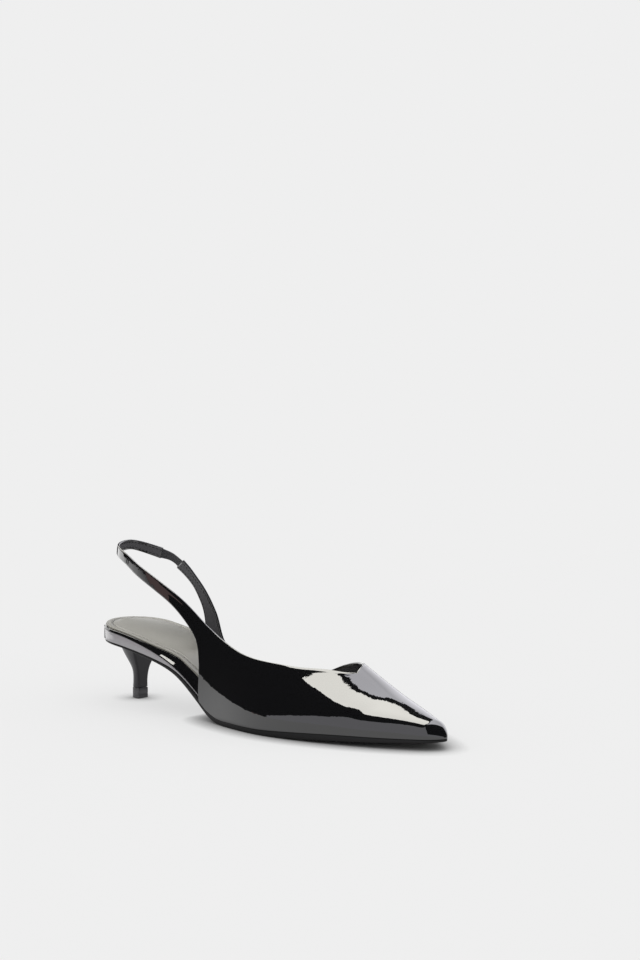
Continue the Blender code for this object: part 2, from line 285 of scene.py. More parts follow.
# Section of that edge, from its foot up: distance drawn in, in depths of the slope, and share of the height
FLANK_EDGE = np.array([
    (0.05, 0.0), (0.0, 0.02), (0.03, 0.04), (0.34, 0.13), (0.65, 0.22), (0.95, 0.307),
    (0.99, 0.32), (1.01, 0.34), (1.1, 0.6), (1.2, 0.94), (FLANK_TOP, 1.0),
])

# Padding of the sock, and the stitched line that draws it down inside its rim
SOCK_CROWN = 1.0
SOCK_PUFF = 0.12
PUFF_RUN = 1.5  # distance over which the padding rises from the rim
SEAM_INSET = 3.6
SEAM_DEPTH = 0.50
SEAM_WIDTH = 0.45
SEAM_ROWS = (1.6, 2.3, 2.9, 3.2, 3.45, 3.75, 4.0, 4.3, 4.9, 5.8)

# Elastic: how far it goes on under each strap end, in rib spacings, its depth there, and its cords
ELASTIC_LET_IN = 0.35
ELASTIC_SUNK = 0.25
CORDS = 7
CORD_HEIGHT = 0.07

# Stitches: pitch, length and thickness of the thread
SOCK_STITCH = (3.0, 2.0, 0.50)
LINING_STITCH = (2.4, 1.7, 0.44)
STRAP_STITCH = (2.2, 1.6, 0.36)
LINING_SEAM = 1.5  # distance from the strap's edges, on the foot's side
LINING_FRONT = (92.0, 58.0)  # station where it ends on the outer and on the inner side
STRAP_SEAM = 1.3  # distance from the upper edge, on the outer face
STRAP_SEAM_SPAN = (30.0, 46.0)
THREAD_LIFT = 0.02
TACK_AT = 32.0  # bar tack across the strap
TACK_REACH = 1.2
TACK_LENGTH = 4.4
TACK_THREAD = 0.55
TACK_LIFT = 0.05
TACK_AIM = 0.85  # share of the strap's width that it points to from the middle

# Creases: side, station and share of the middle, angle from the shoe's length, then length, width and height,
# where a trough's height is negative
CREASES = (
    (OUTER, 214.0, 0.56, 62.0, 7.0, 3.6, -0.15),
    (OUTER, 205.0, 0.58, 60.0, 8.0, 4.5, 0.10),
    (OUTER, 178.0, 0.62, 40.0, 12.0, 6.0, -0.10),
)

# A wave texture of scale 1 repeats its bands over this length
BAND = np.pi / 10

# Camera of the photograph: bearing and height of its place, and how far it is turned off the shoe's middle
CAMERA_AZIMUTH = 41.45
CAMERA_ELEVATION = 10.07
CAMERA_DISTANCE = 1350.0
CAMERA_TARGET = (127.0, 0.0, 30.0)
CAMERA_YAW = 1.1854
CAMERA_PITCH = 4.6426
CAMERA_LENS = 87.264
CAMERA_SENSOR = 36.0

# Studio: sheets of light far away, so that the floor is lit evenly. Their corners are counted in FAR metres
FAR = 30.0
VIEW_END = 200.0  # metres that the camera sees
PALE = "#efefef"
WHITE = "#ffffff"
WARM_WHITE = "#fffdf6"
COOL_WHITE = "#f4f3f9"
BROWN = "#ffd9d6"
FLOOR_TONE = 0.24
FLOOR_GLOW = 0.70  # light that the floor gives off, like a light table, dimmed near the shoe into a painted contact shadow
FLOOR_BACK = -0.28  # edges of the floor, in metres
FLOOR_FRONT = 3.0
FLOOR_SIDE = 3.0
PAINTED_SHADOW_REACH = 14.0  # distance over which the floor's glow fades near the shoe: a painted contact shadow
PAINTED_SHADOW_POWER = 2.0
FILL_LIGHT = 1.00  # even light that the room throws on the floor
ROOM_LIGHT = 0.030  # what is left of the room in mirror reflections
WALL_LIGHT = 1.02
KEY_LIGHT = 1.36
KEY_AZIMUTH = 140.0
KEY_OUT = 0.5
KEY_UP = 0.87
KEY_HALF = 0.5

# Sheets overhead: distances along the soft box and across it
BOX_AZIMUTH = 123.0
SOFT_BOX = (
    (0.17, -0.01), (0.34, -0.035), (0.40, -0.075), (0.55, -0.105), (0.85, -0.085), (1.1, -0.055),
    (1.7, -0.04), (1.7, 0.95), (0.25, 0.85), (0.10, 0.27), (-0.04, 0.235),
)
PALE_SHEET = (
    (0.24, -0.075), (0.34, -0.085), (0.42, -0.125), (0.55, -0.14), (0.85, -0.12), (1.2, -0.095),
    (1.2, -1.15), (0.73, -0.66),
)
FAR_SHEET = ((1.2, -0.095), (1.4, -0.13), (3.5, -0.1), (3.5, -4.0), (1.2, -1.4))
FRONT_SHEET = ((-0.17, -0.05), (-0.5, 0.15), (-0.8, 0.4), (-0.95, 0.72), (-14, 0.72), (-14, -3.5))
SIDE_SHEET = ((-0.95, 0.72), (-1.5, 1.3), (-2.5, 3.3), (-6.8, 13.6), (-30, 13.6), (-14, 0.72))
BACK_WALL = ((3.5, 0.0), (3.5, -4.0))

# Upright cards: azimuths of both ends, slopes of the lower and the upper edge over the horizon
BACK_PAPER = (128.0, 200.0, 0.0, 0.36)
FRONT_WALL = (-108.0, 14.0, -0.03, 0.12)
LOW_CARD = (-137.4, -152.0, -0.62, -0.08)
BROWN_CARD = (-129.4, -137.3, -0.62, -0.02)

# Upright sheets with a slanting edge: azimuths and slopes of their corners
SIDE_WALL = (
    (-108, -0.03), (-108, 0.25), (-113, 0.18), (-119, 0.09), (-126, 0.015), (-126, -0.03),
)
REAR_CARD = (
    (-152, -0.62), (-152, -0.08), (-158, -0.06), (-176, -0.03), (-198, -0.03), (-198, -0.62),
)


def curve(table, column, at):
    """Natural cubic curve through a table: one column as a smooth function of the first."""
    knots, values = table[:, 0], table[:, column]
    step = np.diff(knots)
    slope = np.diff(values) / step
    matrix = np.eye(len(knots))
    inside = np.arange(1, len(knots) - 1)
    matrix[inside, inside - 1] = step[:-1]
    matrix[inside, inside] = 2 * (step[:-1] + step[1:])
    matrix[inside, inside + 1] = step[1:]
    bend = np.linalg.solve(matrix, np.concatenate([[0], 6 * np.diff(slope), [0]]))
    at = np.asarray(at, float)
    i = np.clip(np.searchsorted(knots, at) - 1, 0, len(knots) - 2)
    a, b, h = at - knots[i], knots[i + 1] - at, step[i]
    return ((bend[i] * b ** 3 + bend[i + 1] * a ** 3) / (6 * h)
            + (values[i] / h - bend[i] * h / 6) * b + (values[i + 1] / h - bend[i + 1] * h / 6) * a)


def rounding(depth, length):
    """1 away from an end, falling to 0 at the end along a quarter ellipse of that length."""
    t = np.clip(1 - depth / length, 0, 1)
    return np.sqrt(1 - t ** 2)


def half_width(x, side, inset):
    """Half width of a layer whose edge lies that far inside the shoe's outline, measured square to it."""
    toe = rounding(TOE_TIP - TOE_PULL * inset - x, TOE_ROUND)
    seat = rounding(x - inset + BOARD_INSET, SEAT_ROUND)
    slope = curve(OUTLINE, 1 + side, x + 0.5) - curve(OUTLINE, 1 + side, x - 0.5)
    return np.maximum(curve(OUTLINE, 1 + side, x) - inset * np.hypot(1, slope), 0) * toe * seat


def underside(x):
    """Ground side of the outsole: the arch, the flat tread and the toe spring."""
    arch = np.where(x < TREAD_BACK, np.maximum(curve(SOLE, 1, x), 0), 0)
    spring = np.clip((x - TREAD_FRONT) / (TOE_TIP - TREAD_FRONT), 0, None)
    return arch + TOE_SPRING * spring ** SPRING_POWER


def outsole_top(x):
    """Underside plus the outsole's thickness."""
    return underside(x) + curve(SOLE, 2, x)


def wedge_top(x):
    """Outsole's top plus the wedge."""
    return outsole_top(x) + GAP + curve(SOLE, 3, x)


def footbed_top(x):
    """Wedge's top plus the footbed."""
    return wedge_top(x) + GAP + curve(SOLE, 4, x)


def last(station, share, side):
    """Point of the upper's outer face.

    The station runs along the shoe and, behind the loop's centre, on round the heel. The share runs from the
    feather line (0) to the centre line (1) on a cubic arc: up and out at the feather, along the tilt on top.
    """
    station = np.asarray(station, float)
    share = np.asarray(share, float)
    turn = np.maximum(LOOP_CENTRE - station, 0) / LOOP_TURN
    row = np.maximum(station, LOOP_CENTRE)
    toe = rounding(TOE_TIP - row, TOE_ROUND)
    low = outsole_top(row) + GAP
    wide = curve(OUTLINE, 1 + side, row) * toe
    middle = SIGN[side] * curve(LAST, 1, row) * toe
    high = low + (curve(LAST, 2, row) - low) * toe
    tilt = SIGN[side] * curve(LAST, 3, row) * toe
    shoulder = low + curve(LAST, 4 + side, row) * (high - low)
    reach = curve(LAST, 6 + side, row) * (wide - middle)
    bulge = curve(LAST, 8 + side, row) * toe
    weights = ((1 - share) ** 3, 3 * share * (1 - share) ** 2, 3 * share ** 2 * (1 - share), share ** 3)
    across = sum(w * p for w, p in zip(weights, (wide, wide + bulge, middle + reach, middle)))
    x = row - LOOP_RATIO * across * np.sin(turn)
    y = SIGN[side] * across * np.cos(turn)
    z = sum(w * p for w, p in zip(weights, (low, shoulder, high + tilt * reach, high)))
    return np.stack(np.broadcast_arrays(x, y, z), -1)


def unit(vectors):
    """Vectors of length 1, with a zero vector left as it is."""
    return vectors / np.maximum(np.linalg.norm(vectors, axis=-1, keepdims=True), TINY)


def last_normal(station, share, side):
    """Outward unit normal of the last: the cross product of its slopes along the shoe and up the side."""
    ahead = np.minimum(station + STATION_STEP, TOE_TIP - TIP_MARGIN)
    along = last(ahead, share, side) - last(ahead - 2 * STATION_STEP, share, side)
    row = np.minimum(station, TOE_TIP - NOSE_MARGIN)
    up = last(row, share + SHARE_STEP, side) - last(row, share - SHARE_STEP, side)
    return unit(-SIGN[side] * np.cross(along, up) + (TINY, 0, 0))


def widest(side):
    """Largest reach of the upper to one side."""
    station = np.linspace(LOOP_CENTRE, TOE_TIP, WIDTH_ROWS)[:, None]
    share = np.linspace(0, 0.5, WIDTH_SHARES)[None, :]
    return np.abs(last(station, share, side)[..., 1]).max()


ORIGIN = np.array([TOE_TIP / 2, (widest(INNER) - widest(OUTER)) / 2, 0.0])


def place(points):
    """Millimetres from the back of the seat to metres in the frame."""
    return (np.asarray(points) - ORIGIN) * MM


def quads(rows, columns, ring=False):
    """Corners of the faces between neighbours in a grid. A ring joins the last column to the first."""
    number = np.arange(rows * columns).reshape(rows, columns)
    if ring:
        number = np.concatenate([number, number[:, :1]], 1)
    corners = (number[:-1, :-1], number[:-1, 1:], number[1:, 1:], number[1:, :-1])
    return np.stack(corners, -1).reshape(-1, 4)


def add_piece(name, patches, finishes, stands_for=(), sharp_above=None):
    """Piece of the shoe from patches of points, faces and the number of each face's finish.

    Points that patches share are merged, so that the patches close to one skin, and its faces are turned out.
    """
    starts = np.cumsum([0] + [len(points) for points, faces, finish in patches])
    points = np.concatenate([points for points, faces, finish in patches])
    faces = np.concatenate([patch[1] + start for patch, start in zip(patches, starts)])
    finish = np.concatenate([np.broadcast_to(finish, len(faces)) for points, faces, finish in patches])
    mesh = bpy.data.meshes.new(name)
    mesh.from_pydata(place(points).tolist(), [], faces.tolist())
    mesh.polygons.foreach_set("material_index", finish.astype(np.int32))
    shape = bmesh.new()
    shape.from_mesh(mesh)
    bmesh.ops.remove_doubles(shape, verts=shape.verts, dist=MERGE * MM)
    bmesh.ops.recalc_face_normals(shape, faces=shape.faces)
    if shape.calc_volume(signed=True) < 0:
        bmesh.ops.reverse_faces(shape, faces=shape.faces)
    shape.to_mesh(mesh)
    shape.free()
    mesh.shade_smooth()
    if sharp_above is not None:
        mesh.set_sharp_from_angle(angle=np.radians(sharp_above))
    for each in finishes:
        mesh.materials.append(each)
    piece = bpy.data.objects.new(name, mesh)
    bpy.context.scene.collection.objects.link(piece)
    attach(piece, "root")
    if stands_for:
        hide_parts(*stands_for)


def grid_patch(grid, finish=0, ring=False):
    """Patch from a grid of points."""
    rows, columns = grid.shape[:2]
    return grid.reshape(-1, 3), quads(rows, columns, ring), finish


def rib_rows(ribs, cuts=(), lean=True):
    """Edges of the leather along a table of ribs: stations and shares of both edges, and the lean."""
    numbered = np.column_stack([np.arange(len(ribs)), ribs])
    at = np.linspace(0, len(ribs) - 1, (len(ribs) - 1) * RIB_STEPS + 1)
    at = np.unique(np.concatenate([at, len(ribs) - 1 - np.asarray(cuts)]))
    columns = (curve(numbered, column, at)[:, None] for column in (1, 2, 3, 4))
    foot_station, foot_share, top_station, top_share = columns
    tip = np.interp(top_station, LEAN[:, 0], LEAN[:, 1]) * lean
    return foot_station, np.clip(foot_share, 0, 1), top_station, np.clip(top_share, 0, 1), tip


def vamp_rows():
    """Rows of the closed front: even steps to the nose, then closer and closer to its tip."""
    nose = TOE_TIP - TOE_ROUND
    notch = THROAT + ROLL * EASE
    straight = np.linspace(notch[-1], nose, VAMP_STEPS + 1)[1:-1]
    turned = nose + TOE_ROUND * np.sin(np.linspace(0, np.pi / 2, NOSE_STEPS + 1))
    station = np.concatenate([notch, straight, turned])[:, None]
    return station, np.zeros_like(station), station, np.ones_like(station), np.zeros_like(station)


def rib_point(rows, at, side):
    """Point at a fraction of the way up each row, with its normal, on the last or leaning off it."""
    foot_station, foot_share, top_station, top_share, tip = rows
    station = foot_station + (top_station - foot_station) * at
    share = foot_share + (top_share - foot_share) * at
    normals = last_normal(station, share, side)
    chord = last(top_station, top_share, side) - last(foot_station, foot_share, side)
    lift = np.tan(np.radians(tip)) * (at - 0.5) * np.linalg.norm(chord, axis=-1)
    return last(station, share, side) + normals * lift[..., None], normals


def rib_length(rows, side):
    """Length of each row over the last, summed over short chords."""
    points, _ = rib_point(rows, np.linspace(0, 1, CHORDS)[None, :], side)
    return np.linalg.norm(np.diff(points, axis=1), axis=-1).sum(1)[:, None]


def crease_relief(points, normals, side):
    """Height of the creases: each is a bell, long in its own direction and narrow across it."""
    relief = np.zeros(points.shape[:2])
    for on_side, station, share, angle, length, width, height in CREASES:
        if on_side != side:
            continue
        middle = last(station, share, side)
        normal = last_normal(station, share, side)
        along = unit(last(station + 0.5, share, side) - middle)
        up = np.cross(normal, along) * SIGN[side] * -1
        turn = np.radians(angle)
        lengthwise = (points - middle) @ (np.cos(turn) * along + np.sin(turn) * up)
        crosswise = (points - middle) @ (np.cos(turn) * up - np.sin(turn) * along)
        relief += height * np.exp(-(lengthwise / length) ** 2 - (crosswise / width) ** 2)
    return relief


def leather(rows, side, topline=False, strap_end=False, wall=WALL, roll=ROLL, sunk=0.0):
    """Outer and foot side of a stretch of leather, and each point's distance from the nearest cut edge.

    Both faces lie on the last, a wall apart. Within a roll of an edge each curves to the middle of the wall
    on a quarter of a superellipse, so that the two meet in a rounded edge. The feather line stays square.
    """
    length = rib_length(rows, side)
    edge = np.minimum(roll / np.maximum(length, TINY), ROLL_SHARE) * EASE
    even = np.linspace(0, 1, FACE_COLUMNS + 1)[None, 1:-1]
    flat = edge[:, -1:] + (1 - 2 * edge[:, -1:]) * even
    at = np.concatenate([edge, flat, 1 - edge[:, ::-1]], 1)
    points, normals = rib_point(rows, at, side)
    feather = 1 - np.clip(rows[1] / FEATHER_SHARE, 0, 1)
    distance = at * length + roll * feather
    beyond = (1 - at) * length
    corner = np.linalg.norm(points - last(THROAT, 1.0, side), axis=-1)
    if topline:
        rim = unit(np.gradient(points[:, -1], axis=0))
        rib = unit(points[:, -1] - points[:, -3])
        slant = np.linalg.norm(np.cross(rim, rib), axis=-1)[:, None]
        slant[:2] = 1.0
        beyond = np.where(np.isclose(rows[2], THROAT), corner, beyond * slant)
        distance = np.minimum(distance, beyond)
    else:
        normals[-1] = (1.0, 0.0, 0.0)
        distance = np.minimum(distance, corner)
    if strap_end:
        distance = np.minimum(distance, np.linalg.norm(points - points[-1:], axis=-1))
    drop = roll - roll * (1 - np.clip(1 - distance / roll, 0, 1) ** EDGE_POWER) ** (1 / EDGE_POWER)
    relief = crease_relief(points, normals, side)
    if topline:
        rise = np.clip((rows[2] - BEAD_BACK) / BEAD_RISE, 0, 1)
        stop = np.clip((THROAT - rows[2]) / BEAD_STOP, 0, 1)
        bead = BEAD_HEIGHT * rise * stop * np.exp(-((beyond - BEAD_AT) / BEAD_WIDTH) ** 2)
        relief = relief + bead
    relief = relief * np.clip(distance / roll, 0, 1) ** 2
    outside = points + normals * (relief - drop - sunk)[..., None]
    inside = points - normals * (wall - drop + sunk)[..., None]
    return outside, inside, distance


def leather_patches(outside, inside, distance):
    """Skin on the outside and folded over the edge (finish 0), lining on the foot's side (finish 1)."""
    faces = quads(*distance.shape)
    folded = distance.reshape(-1)[faces].mean(1) < FOLD
    return [(outside.reshape(-1, 3), faces, 0),
            (inside.reshape(-1, 3), faces[:, ::-1], np.where(folded, 0, 1)),
            grid_patch(np.stack([inside[:, 0], outside[:, 0]], 1))]


def add_upper(skin, lining):
    """Vamp, quarters and sling strap as one skin of patent leather over its lining."""
    patches = []
    end = ROLL * EASE / END_SPACING
    for side in (OUTER, INNER):
        patches += leather_patches(*leather(vamp_rows(), side))
        rows = rib_rows(RIBS[side], end, side == OUTER)
        patches += leather_patches(*leather(rows, side, topline=True, strap_end=True))
    add_piece("upper_patent", patches, [skin, lining], ["upper"])


def add_elastic(webbing):
    """Stretch webbing between the two strap ends: a thin band with cords along it, let into the strap."""
    first, final = ELASTIC_RIBS[0], ELASTIC_RIBS[-1]
    ribs = np.concatenate([[first + (first - ELASTIC_RIBS[1]) * ELASTIC_LET_IN], ELASTIC_RIBS,
                           [final + (final - ELASTIC_RIBS[-2]) * ELASTIC_LET_IN]])
    rows = rib_rows(ribs, lean=False)
    outside, inside, distance = leather(rows, INNER, topline=True, strap_end=True, wall=ELASTIC_WALL,
                                        roll=ELASTIC_WALL / 2, sunk=ELASTIC_SUNK)
    at = np.linspace(0, 1, outside.shape[1])[None, :, None]
    ridge = CORD_HEIGHT * np.cos(2 * np.pi * CORDS * at) * np.clip(distance / ELASTIC_WALL, 0, 1)[..., None]
    normals = unit(outside - inside)
    outside, inside = outside + normals * ridge, inside - normals * ridge
    end = np.stack([outside[0], inside[0]])
    patches = [grid_patch(outside), grid_patch(inside[:, ::-1]), grid_patch(end)]
    add_piece("elastic_band", patches, [webbing], ["elastic"])


def ring_stations(back, front, rounded_front):
    """Stations along one side of a layer, close together where its ends are round."""
    seat = back + SEAT_ROUND * (1 - np.cos(np.linspace(0, np.pi / 2, SEAT_STEPS)))
    if rounded_front:
        toe = front - TOE_ROUND * (1 - np.sin(np.linspace(0, np.pi / 2, NOSE_STEPS)))
    else:
        toe = np.array([front])
    return np.concatenate([seat, np.linspace(seat[-1], toe[0], SIDE_STEPS)[1:-1], toe])


def constant(value):
    """The same value at every station."""
    return lambda x: value + 0 * np.asarray(x, float)


def profile(drawn_in, height, lift=0.0):
    """Profile of a layer from the middle of its underside, round the given edge, to the middle of its top.

    Columns: distance inside the layer's edge, share of its height, lift above that, share of its width.
    """
    edge = np.stack(np.broadcast_arrays(drawn_in, height, lift, 1.0), 1)
    middle = np.linspace(0, 1, MIDDLE_STEPS)[:-1, None] * (0, 0, 0, 1)
    under = edge[0] * (1, 1, 1, 0) + middle
    over = edge[-1] * (1, 1, 1, 0) + middle[::-1]
    return np.concatenate([under, edge, over])


def rounded_profile(low, high):
    """Profile whose lower and upper corner are quarter rounds of those radii."""
    turn = np.linspace(0, np.pi / 2, EDGE_STEPS)
    drawn_in = np.concatenate([low * (1 - np.sin(turn)), high * (1 - np.cos(turn))])
    height = np.repeat([0.0, 1.0], EDGE_STEPS)
    lift = np.concatenate([low * (1 - np.cos(turn)), -high * (1 - np.sin(turn))])
    return profile(drawn_in, height, lift)


def layer(inset, bottom, top, section, front=None, radius=None, lean=0.0):
    """Layer of the sole as rings: a profile carried round the shoe's outline, between two heights.

    Each ring runs forward along the outer side and back along the inner side, drawn in by the profile's
    distance, which may be counted in a radius that changes along the shoe. A lean draws the top in further.
    """
    radius = radius or constant(1.0)
    rings = []
    for drawn_in, height, lift, width in section:
        back_inset = inset(0.0) + drawn_in * radius(0.0) + lean * height
        toe_inset = inset(TOE_TIP) + drawn_in * radius(TOE_TIP) + lean * height
        reach = TOE_TIP - TOE_PULL * toe_inset if front is None else front
        x = ring_stations(back_inset - BOARD_INSET, reach, front is None)
        z = bottom(x) * (1 - height) + top(x) * height + lift
        edge = inset(x) + drawn_in * radius(x) + lean * height
        outer, inner = (np.stack([x, SIGN[side] * half_width(x, side, edge) * width, z], 1)
                        for side in (OUTER, INNER))
        rings.append(np.concatenate([outer, inner[::-1]]))
    return np.stack(rings)


def flank_run(x):
    """Depth of the slope at the foot of the footbed's wrapped edge: little at the seat, more at the arch."""
    return np.interp(x, FLANK[:, 0], FLANK[:, 1]) * curve(SOLE, 4, x)


def sock_low(x):
    """Underside of the sock, on the footbed."""
    return footbed_top(x) + GAP


def sock_high(x):
    """Top of the sock."""
    return sock_low(x) + SOCK_THICKNESS


def sock_inset(x):
    """Inset of the sock: its rim keeps inside the footbed's upper edge, which the wrapped slope draws in."""
    return np.maximum(SOCK_INSET, BOARD_INSET + FLANK_LEAN + FLANK_TOP * flank_run(x))


def add_sock(sock):
    """Padded sock: a round rim, a groove drawn down by the stitched line, and a low crown."""
    rim = rounded_profile(SOCK_FOOT, SOCK_RIM)[:1 - MIDDLE_STEPS]
    inside = np.array(SEAM_ROWS)
    one = np.ones_like
    puff = SOCK_PUFF * np.clip((inside - SOCK_RIM) / PUFF_RUN, 0, 1)
    groove = SEAM_DEPTH * np.exp(-((inside - SEAM_INSET) / SEAM_WIDTH) ** 2)
    band = np.stack([inside, one(inside), puff - groove, one(inside)], 1)
    width = np.linspace(1, 0, PAD_STEPS)[1:]
    crown = SOCK_PUFF + SOCK_CROWN * (1 - width ** 2)
    pad = np.stack([inside[-1] * one(width), one(width), crown, width], 1)
    grid = layer(sock_inset, sock_low, sock_high, np.concatenate([rim, band, pad]))
    add_piece("sock", [grid_patch(grid, ring=True)], [sock], ["insole"])


def add_sole_layers(skin, cover, rubber):
    """Footbed and wedge with their wrapped, rounded edges, and the outsole with its trimmed edge."""
    board = layer(constant(BOARD_INSET), lambda x: wedge_top(x) + GAP, footbed_top, profile(*FLANK_EDGE.T),
                  radius=flank_run, lean=FLANK_LEAN)
    wedge = layer(constant(BOARD_INSET), lambda x: outsole_top(x) + GAP, wedge_top,
                  rounded_profile(WEDGE_EDGE, WEDGE_EDGE), front=WEDGE_FRONT)
    tread = layer(lambda x: curve(SOLE, 5, x), underside, outsole_top,
                  rounded_profile(TREAD_FOOT, TREAD_HEAD))
    add_piece("footbed_edge", [grid_patch(board, ring=True)], [skin], ["footbed"])
    add_piece("wedge_cover", [grid_patch(wedge, ring=True)], [cover], ["seat_wedge"], SHARP)
    add_piece("outsole_tread", [grid_patch(tread, ring=True)], [rubber], ["outsole"])


def d_ring(back, breast, half, corner):
    """Heel section: half an ellipse for the back, a flat breast, and a small round where they meet."""
    turn = np.linspace(-np.pi / 2, np.pi / 2, HEEL_BACK_STEPS)
    deep, wide = breast - corner, half - corner
    arc = np.stack([deep - (deep - back) * np.cos(turn), half * np.sin(turn)], 1)
    bend = np.linspace(np.pi / 2, 0, HEEL_CORNER_STEPS)[1:]
    inner = np.stack([deep + corner * np.cos(bend), wide + corner * np.sin(bend)], 1)
    across = np.linspace(wide, -wide, HEEL_BREAST_STEPS)
    flat = np.stack([np.full_like(across, breast), across], 1)[1:]
    bend = bend[::-1]
    outer = np.stack([deep + corner * np.sin(bend), -wide - corner * np.cos(bend)], 1)
    return np.concatenate([arc, inner, flat, outer[1:-1]])


def heel_rings(heights, proud, corner):
    """Rings of the heel's sections at those heights, let out by an amount each."""
    rings = []
    for z, out in zip(heights, proud):
        back, breast, half = (float(curve(HEEL, column, max(z, HEEL[0, 0]))) for column in (1, 2, 3))
        plan = d_ring(back - out, breast + out, half + out, corner)
        rings.append(np.column_stack([plan, np.full(len(plan), z)]))
    return np.stack(rings)


def capped(rings):
    """Rings closed at both ends by rings drawn to their middle."""
    shrink = np.linspace(0, 1, CAP_RINGS)[:, None, None]
    low, high = rings[0], rings[-1]
    start = low.mean(0) * (1 - shrink) + low * shrink
    stop = high.mean(0) * (1 - shrink[::-1]) + high * shrink[::-1]
    return np.concatenate([start[:-1], rings, stop[1:]])


def add_heel(skin, rubber):
    """Waisted heel, its flare fitted to the seat's sloping underside, over its tread piece."""
    bottom, flare, top = HEEL[0, 0], HEEL[-3, 0], HEEL[-1, 0]
    heights = np.linspace(bottom, top, HEEL_RINGS)
    rings = heel_rings(heights, np.zeros_like(heights), HEEL_CORNER)
    rise = np.clip((rings[..., 2] - flare) / (top - flare), 0, 1) ** 2
    rings[..., 2] += rise * (underside(rings[..., 0]) - GAP - top)
    cover = grid_patch(capped(rings), ring=True)
    add_piece("heel_cover", [cover], [skin], ["heel"], SHARP)
    turn = np.linspace(0, np.pi / 2, EDGE_STEPS)
    rounded = LIFT_EDGE * (1 - np.cos(turn))
    heights = np.concatenate([rounded, GROOVE_HEIGHTS, LIFT_HEIGHT - LIFT_EDGE * np.cos(turn)])
    groove = (0, GROOVE_DEPTH, GROOVE_DEPTH, 0)
    drawn_in = np.concatenate([LIFT_EDGE * (1 - np.sin(turn)), groove, rounded])
    tread = grid_patch(capped(heel_rings(heights, LIFT_PROUD - drawn_in, LIFT_CORNER)), ring=True)
    add_piece("top_lift_tread", [tread], [rubber], ["top_lift"], SHARP)


def spaced(path, pitch):
    """Points and normals at even distances along a path, with its direction there."""
    run = np.concatenate([[0], np.cumsum(np.linalg.norm(np.diff(path, axis=0), axis=1))])
    at = np.arange(pitch / 2, run[-1], pitch)
    here, ahead, behind = (np.stack([np.interp(distance, run, column) for column in path.T], 1)
                           for distance in (at, at + PATH_STEP, at - PATH_STEP))
    return here[:, :3], here[:, 3:], unit(ahead[:, :3] - behind[:, :3])


def stitch_patch(middle, along, out, length, thread):
    """Stitches as spindles: round, thinner to both ends, laid along the seam and half sunk in it."""
    run = np.linspace(-1, 1, STITCH_RINGS)[None, :, None, None]
    turn = np.linspace(0, 2 * np.pi, STITCH_SIDES + 1)[None, None, :-1, None]
    side = unit(np.cross(out, along))
    girth = thread / 2 * np.sqrt(1 - run ** 4)
    along, out, side, middle = (v[:, None, None, :] for v in (along, out, side, middle))
    points = middle + along * run * length / 2 + girth * (side * np.cos(turn) + out * np.sin(turn))
    starts = STITCH_RINGS * STITCH_SIDES * np.arange(len(points))
    faces = quads(STITCH_RINGS, STITCH_SIDES, ring=True)[None] + starts[:, None, None]
    return points.reshape(-1, 3), faces.reshape(-1, 4), 0


def stitched(path, stitch):
    """Row of stitches along a path of points and normals."""
    pitch, length, thread = stitch
    middle, out, along = spaced(path, pitch)
    return stitch_patch(middle, along, out, length, thread)


def stretch(side, back, front):
    """Rows of the leather whose upper edge lies between two stations."""
    rows = rib_rows(RIBS[side], lean=side == OUTER)
    kept = (rows[2][:, 0] > back) & (rows[2][:, 0] < front)
    return tuple(column[kept] for column in rows)


def edge_path(rows, side, inside, from_top, face_lift):
    """Line along one edge of the leather, lifted off its outer side or, if negative, its foot's side."""
    length = rib_length(rows, side)
    at = 1 - inside / length if from_top else inside / length
    points, normals = rib_point(rows, at, side)
    points, normals = points[:, 0], normals[:, 0]
    lift = face_lift if face_lift > 0 else face_lift - WALL
    return np.concatenate([points + normals * lift, normals * np.sign(face_lift)], 1)


def add_seams(sock_thread, strap_thread):
    """Stitched lines: round the sock, along both edges of the strap's lining, and the strap's bar tack."""
    ring = layer(sock_inset, sock_low, sock_high, [(SEAM_INSET, 1.0, SOCK_PUFF - SEAM_DEPTH, 1.0)])[0]
    loop = np.concatenate([ring, ring[:1]])
    path = np.concatenate([loop, np.broadcast_to(UP, loop.shape)], 1)
    add_piece("sock_stitches", [stitched(path, SOCK_STITCH)], [sock_thread])
    patches = []
    for side in (OUTER, INNER):
        rows = stretch(side, -np.inf, LINING_FRONT[side])
        for from_top in (True, False):
            path = edge_path(rows, side, LINING_SEAM, from_top, -THREAD_LIFT)
            patches.append(stitched(path, LINING_STITCH))
    path = edge_path(stretch(OUTER, *STRAP_SEAM_SPAN), OUTER, STRAP_SEAM, True, THREAD_LIFT)
    patches.append(stitched(path, STRAP_STITCH))
    rows = stretch(OUTER, TACK_AT - TACK_REACH, TACK_AT + TACK_REACH)
    middle, out = (grid[:, 0] for grid in rib_point(rows, np.full_like(rows[0], 0.5), OUTER))
    high = rib_point(rows, np.full_like(rows[0], TACK_AIM), OUTER)[0][:, 0]
    patches.append(stitch_patch(middle + out * TACK_LIFT, unit(high - middle), out, TACK_LENGTH, TACK_THREAD))
    add_piece("strap_stitches", patches, [strap_thread])


def linear(hex_colour):
    """sRGB hex colour as linear light with full alpha."""
    value = np.array([int(hex_colour[i:i + 2], 16) for i in (1, 3, 5)]) / 255
    light = np.where(value <= 0.04045, value / 12.92, ((value + 0.055) / 1.055) ** 2.4)
    return (*light.tolist(), 1.0)


def add_node(tree, kind, inputs=None, feeds=(), **settings):
    """New node with its settings, its inputs set or linked, and its first output linked to what it feeds."""
    node = tree.nodes.new(kind)
    for name, value in settings.items():
        setattr(node, name, value)
    for name, value in (inputs or {}).items():
        if isinstance(value, bpy.types.NodeSocket):
            tree.links.new(value, node.inputs[name])
        else:
            node.inputs[name].default_value = value
    for socket in feeds:
        tree.links.new(node.outputs[0], socket)
    return node


